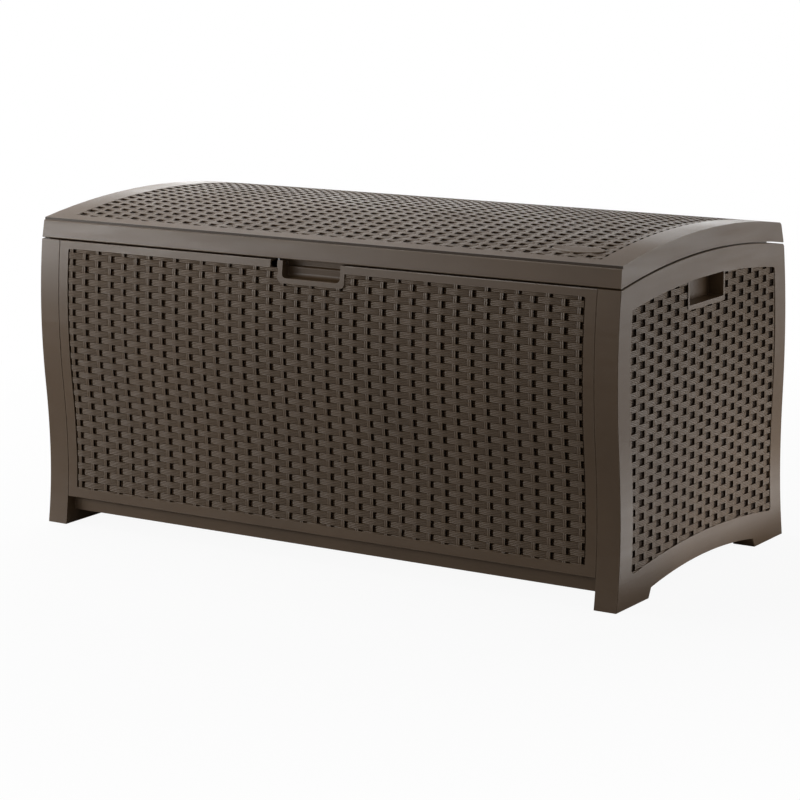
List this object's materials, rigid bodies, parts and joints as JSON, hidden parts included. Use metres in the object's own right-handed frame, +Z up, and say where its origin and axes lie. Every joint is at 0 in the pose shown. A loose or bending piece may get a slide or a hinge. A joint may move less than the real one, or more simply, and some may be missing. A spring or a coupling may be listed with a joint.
{
  "type": "deck storage box",
  "caption": "Free-standing moulded resin deck box with woven-look walls, flared feet, hand pockets and an arched hinged lid on slotted stays.",
  "frame": {"origin": "centre of the box on the ground, under the middle of its bounding box", "axes": "+X to the right along the length, front faces -Y, +Z up"},
  "size_m": [1.384, 0.704, 0.68],
  "materials": {
    "brown_resin": "satin moulded polypropylene",
    "zinc_steel": "zinc plated"
  },
  "bodies": {
    "box": {"left_end_panel": "brown_resin", "right_end_panel": "brown_resin", "front_panel": "brown_resin", "rear_panel": "brown_resin", "floor_panel": "brown_resin", "front_panel_screws": "zinc_steel", "rear_panel_screws": "zinc_steel", "floor_screws": "zinc_steel", "hinge_pin_left": "zinc_steel", "hinge_pin_middle": "zinc_steel", "hinge_pin_right": "zinc_steel", "left_guide_stud": "zinc_steel", "right_guide_stud": "zinc_steel", "left_guide_washer": "zinc_steel", "right_guide_washer": "zinc_steel"},
    "lid": {"lid_shell": "brown_resin", "lock_tab": "zinc_steel", "lock_tab_screws": "zinc_steel", "left_pivot_rivet": "zinc_steel", "right_pivot_rivet": "zinc_steel", "left_pivot_washer": "zinc_steel", "right_pivot_washer": "zinc_steel"},
    "left_stay": {"left_lid_stay": "zinc_steel"},
    "right_stay": {"right_lid_stay": "zinc_steel"}
  },
  "joints": [
    {"name": "lid_hinge", "type": "hinge", "parent": "box", "child": "lid", "pos_m": [0, 0.344, 0.6065], "axis": [-1, 0, 0], "range_deg": [0, 95]},
    {"name": "left_stay_pivot", "type": "hinge", "parent": "lid", "child": "left_stay", "pos_m": [-0.6695, 0.17565, 0.63016], "axis": [-1, 0, 0], "range_deg": [-47.5, 0]},
    {"name": "right_stay_pivot", "type": "hinge", "parent": "lid", "child": "right_stay", "pos_m": [0.6695, 0.17565, 0.63016], "axis": [-1, 0, 0], "range_deg": [-47.5, 0]}
  ],
  "couplings": [
    {"joint": "left_stay_pivot", "follows": "lid_hinge", "ratio": -0.5},
    {"joint": "right_stay_pivot", "follows": "lid_hinge", "ratio": -0.5}
  ]
}
